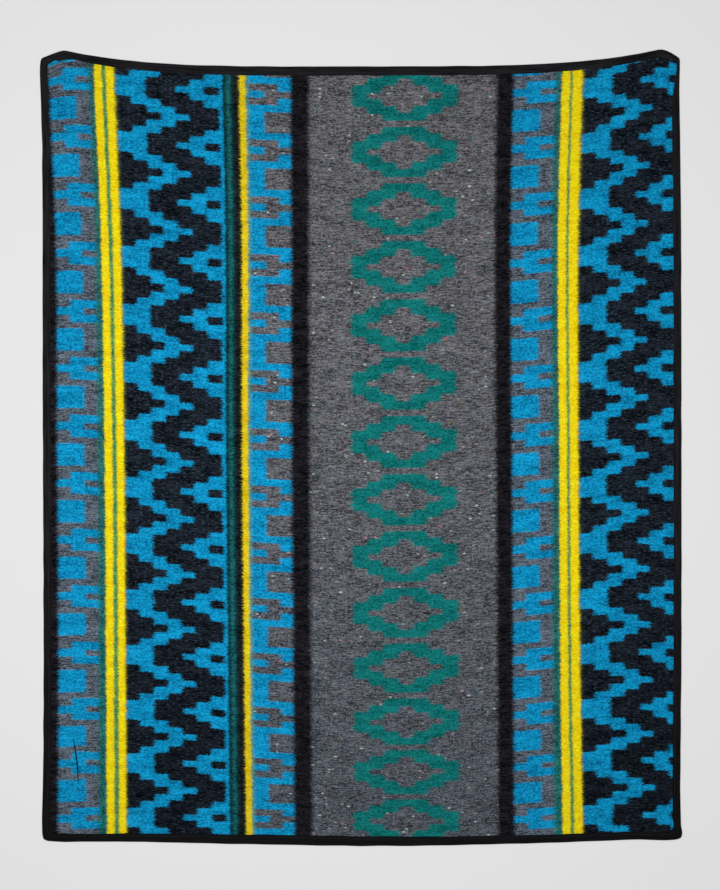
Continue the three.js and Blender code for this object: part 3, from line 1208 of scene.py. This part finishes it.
stitches = new_piece("binding_stitches", stitch_points, stitch_faces)
print("stitches:", stitch_count)

# %% Finish of the thread
THREAD_TWIST = {"Scale": 900.0, "Detail": 1.0}
THREAD_SHADES = (dye(26, 26, 28), dye(66, 66, 70))
THREAD_LOOK = {"gain": 2.0, "roughness": (0.5, 0.7), "gloss": 0.2}
thread = twisted("sewing_thread", THREAD_TWIST, THREAD_SHADES, **THREAD_LOOK)
stitches.data.materials.append(thread)
print("thread's finish:", thread.name)

# %% [markdown]
# ## Hand the pieces to the frame
# Each piece rides on the one body and stands for the solids that it hides. The cloth and the tape are
# both sheets.

# %% Ride and replace
PIECES = [
    {"piece": cloth, "stands_for": ["cloth"], "slot": "cloth"},
    {"piece": tape, "stands_for": TAPE_NODES, "slot": "binding"},
    {"piece": stitches, "stands_for": [], "slot": "binding"},
    {"piece": shade_strand, "stands_for": [], "slot": "cloth"},
    *({"piece": nap, "stands_for": [], "slot": "cloth"} for nap in naps),
]
for entry in PIECES:
    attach(entry["piece"], "root")
    if entry["stands_for"]:
        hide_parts(*entry["stands_for"])
print("pieces:", [entry["piece"].name for entry in PIECES])

# %% [markdown]
# ## Floor, light and camera
# The blanket lies on a plain pale floor under one broad soft light, a little brighter at the middle
# of the cloth. The camera looks straight down from far enough for a flat view.

# %% Floor
FLOOR_SIZE = 60.0
FLOOR_DROP = 0.4 * MM
FLOOR_CORNERS = [(-1, -1), (1, -1), (1, 1), (-1, 1)]
FLOOR_SHADES = ((0.3, 0.3, 0.3, 1.0), (0.31, 0.31, 0.31, 1.0))
FLOOR_MOTTLE = {"Scale": 1.5, "Detail": 2.0}
FLOOR_ROUGHNESS = 0.9
WHITE = (1.0, 1.0, 1.0, 1.0)
FLOOR_GLOW = {"Emission_Color": WHITE, "Emission_Strength": 0.5}
half = FLOOR_SIZE / 2
floor_points = [(x * half, y * half, -FLOOR_DROP) for x, y in FLOOR_CORNERS]
floor = new_piece("floor", floor_points, [range(len(floor_points))])
finish = Finish("pale_floor")
floor_place = finish.node("ShaderNodeTexCoord", out="Object")
mottle = finish.node("ShaderNodeTexNoise", {}, {"Vector": floor_place, **FLOOR_MOTTLE})
floor_colour = finish.mix(mottle, *FLOOR_SHADES)
floor_material = finish.surface(Base_Color=floor_colour, Roughness=FLOOR_ROUGHNESS, **FLOOR_GLOW)
floor.data.materials.append(floor_material)
print("floor side:", FLOOR_SIZE, "m")

# %% Light
LAMPS = [
    {"name": "overhead", "at": (-0.16, 0.03, 2.1), "turn": (0, 0, 0), "side": 1.2, "watts": 38.5},
    {"name": "left_fill", "at": (-2.6, 0.9, 1.5), "turn": (0, -60, -20), "side": 1.6, "watts": 6.0},
]
SKY = 0.2
for lamp in LAMPS:
    light = bpy.data.lights.new(lamp["name"], "AREA")
    light.size = lamp["side"]
    light.energy = lamp["watts"]
    holder = bpy.data.objects.new(lamp["name"], light)
    holder.location = lamp["at"]
    holder.rotation_euler = np.radians(lamp["turn"])
    holder.visible_camera = False
    bpy.context.scene.collection.objects.link(holder)
world = bpy.data.worlds.new("pale_room")
world.use_nodes = True
sky = world.node_tree.nodes["Background"].inputs
sky["Color"].default_value = WHITE
sky["Strength"].default_value = SKY
bpy.context.scene.world = world
bpy.context.scene.view_settings.view_transform = "Standard"
print("lamps:", len(LAMPS))

# %% Camera
LENS = 85.0
FRAME_HEIGHT = 1.7755
FRAME_CENTRE = (-0.0026, 0.0054)
camera_data = bpy.data.cameras.new("camera")
camera_data.lens = LENS
distance = FRAME_HEIGHT * LENS / camera_data.sensor_width
camera = bpy.data.objects.new("camera", camera_data)
camera.location = (*FRAME_CENTRE, CLOTH_TOP + distance)
bpy.context.scene.collection.objects.link(camera)
bpy.context.scene.camera = camera
print("camera height:", round(camera.location.z, 3), "m")
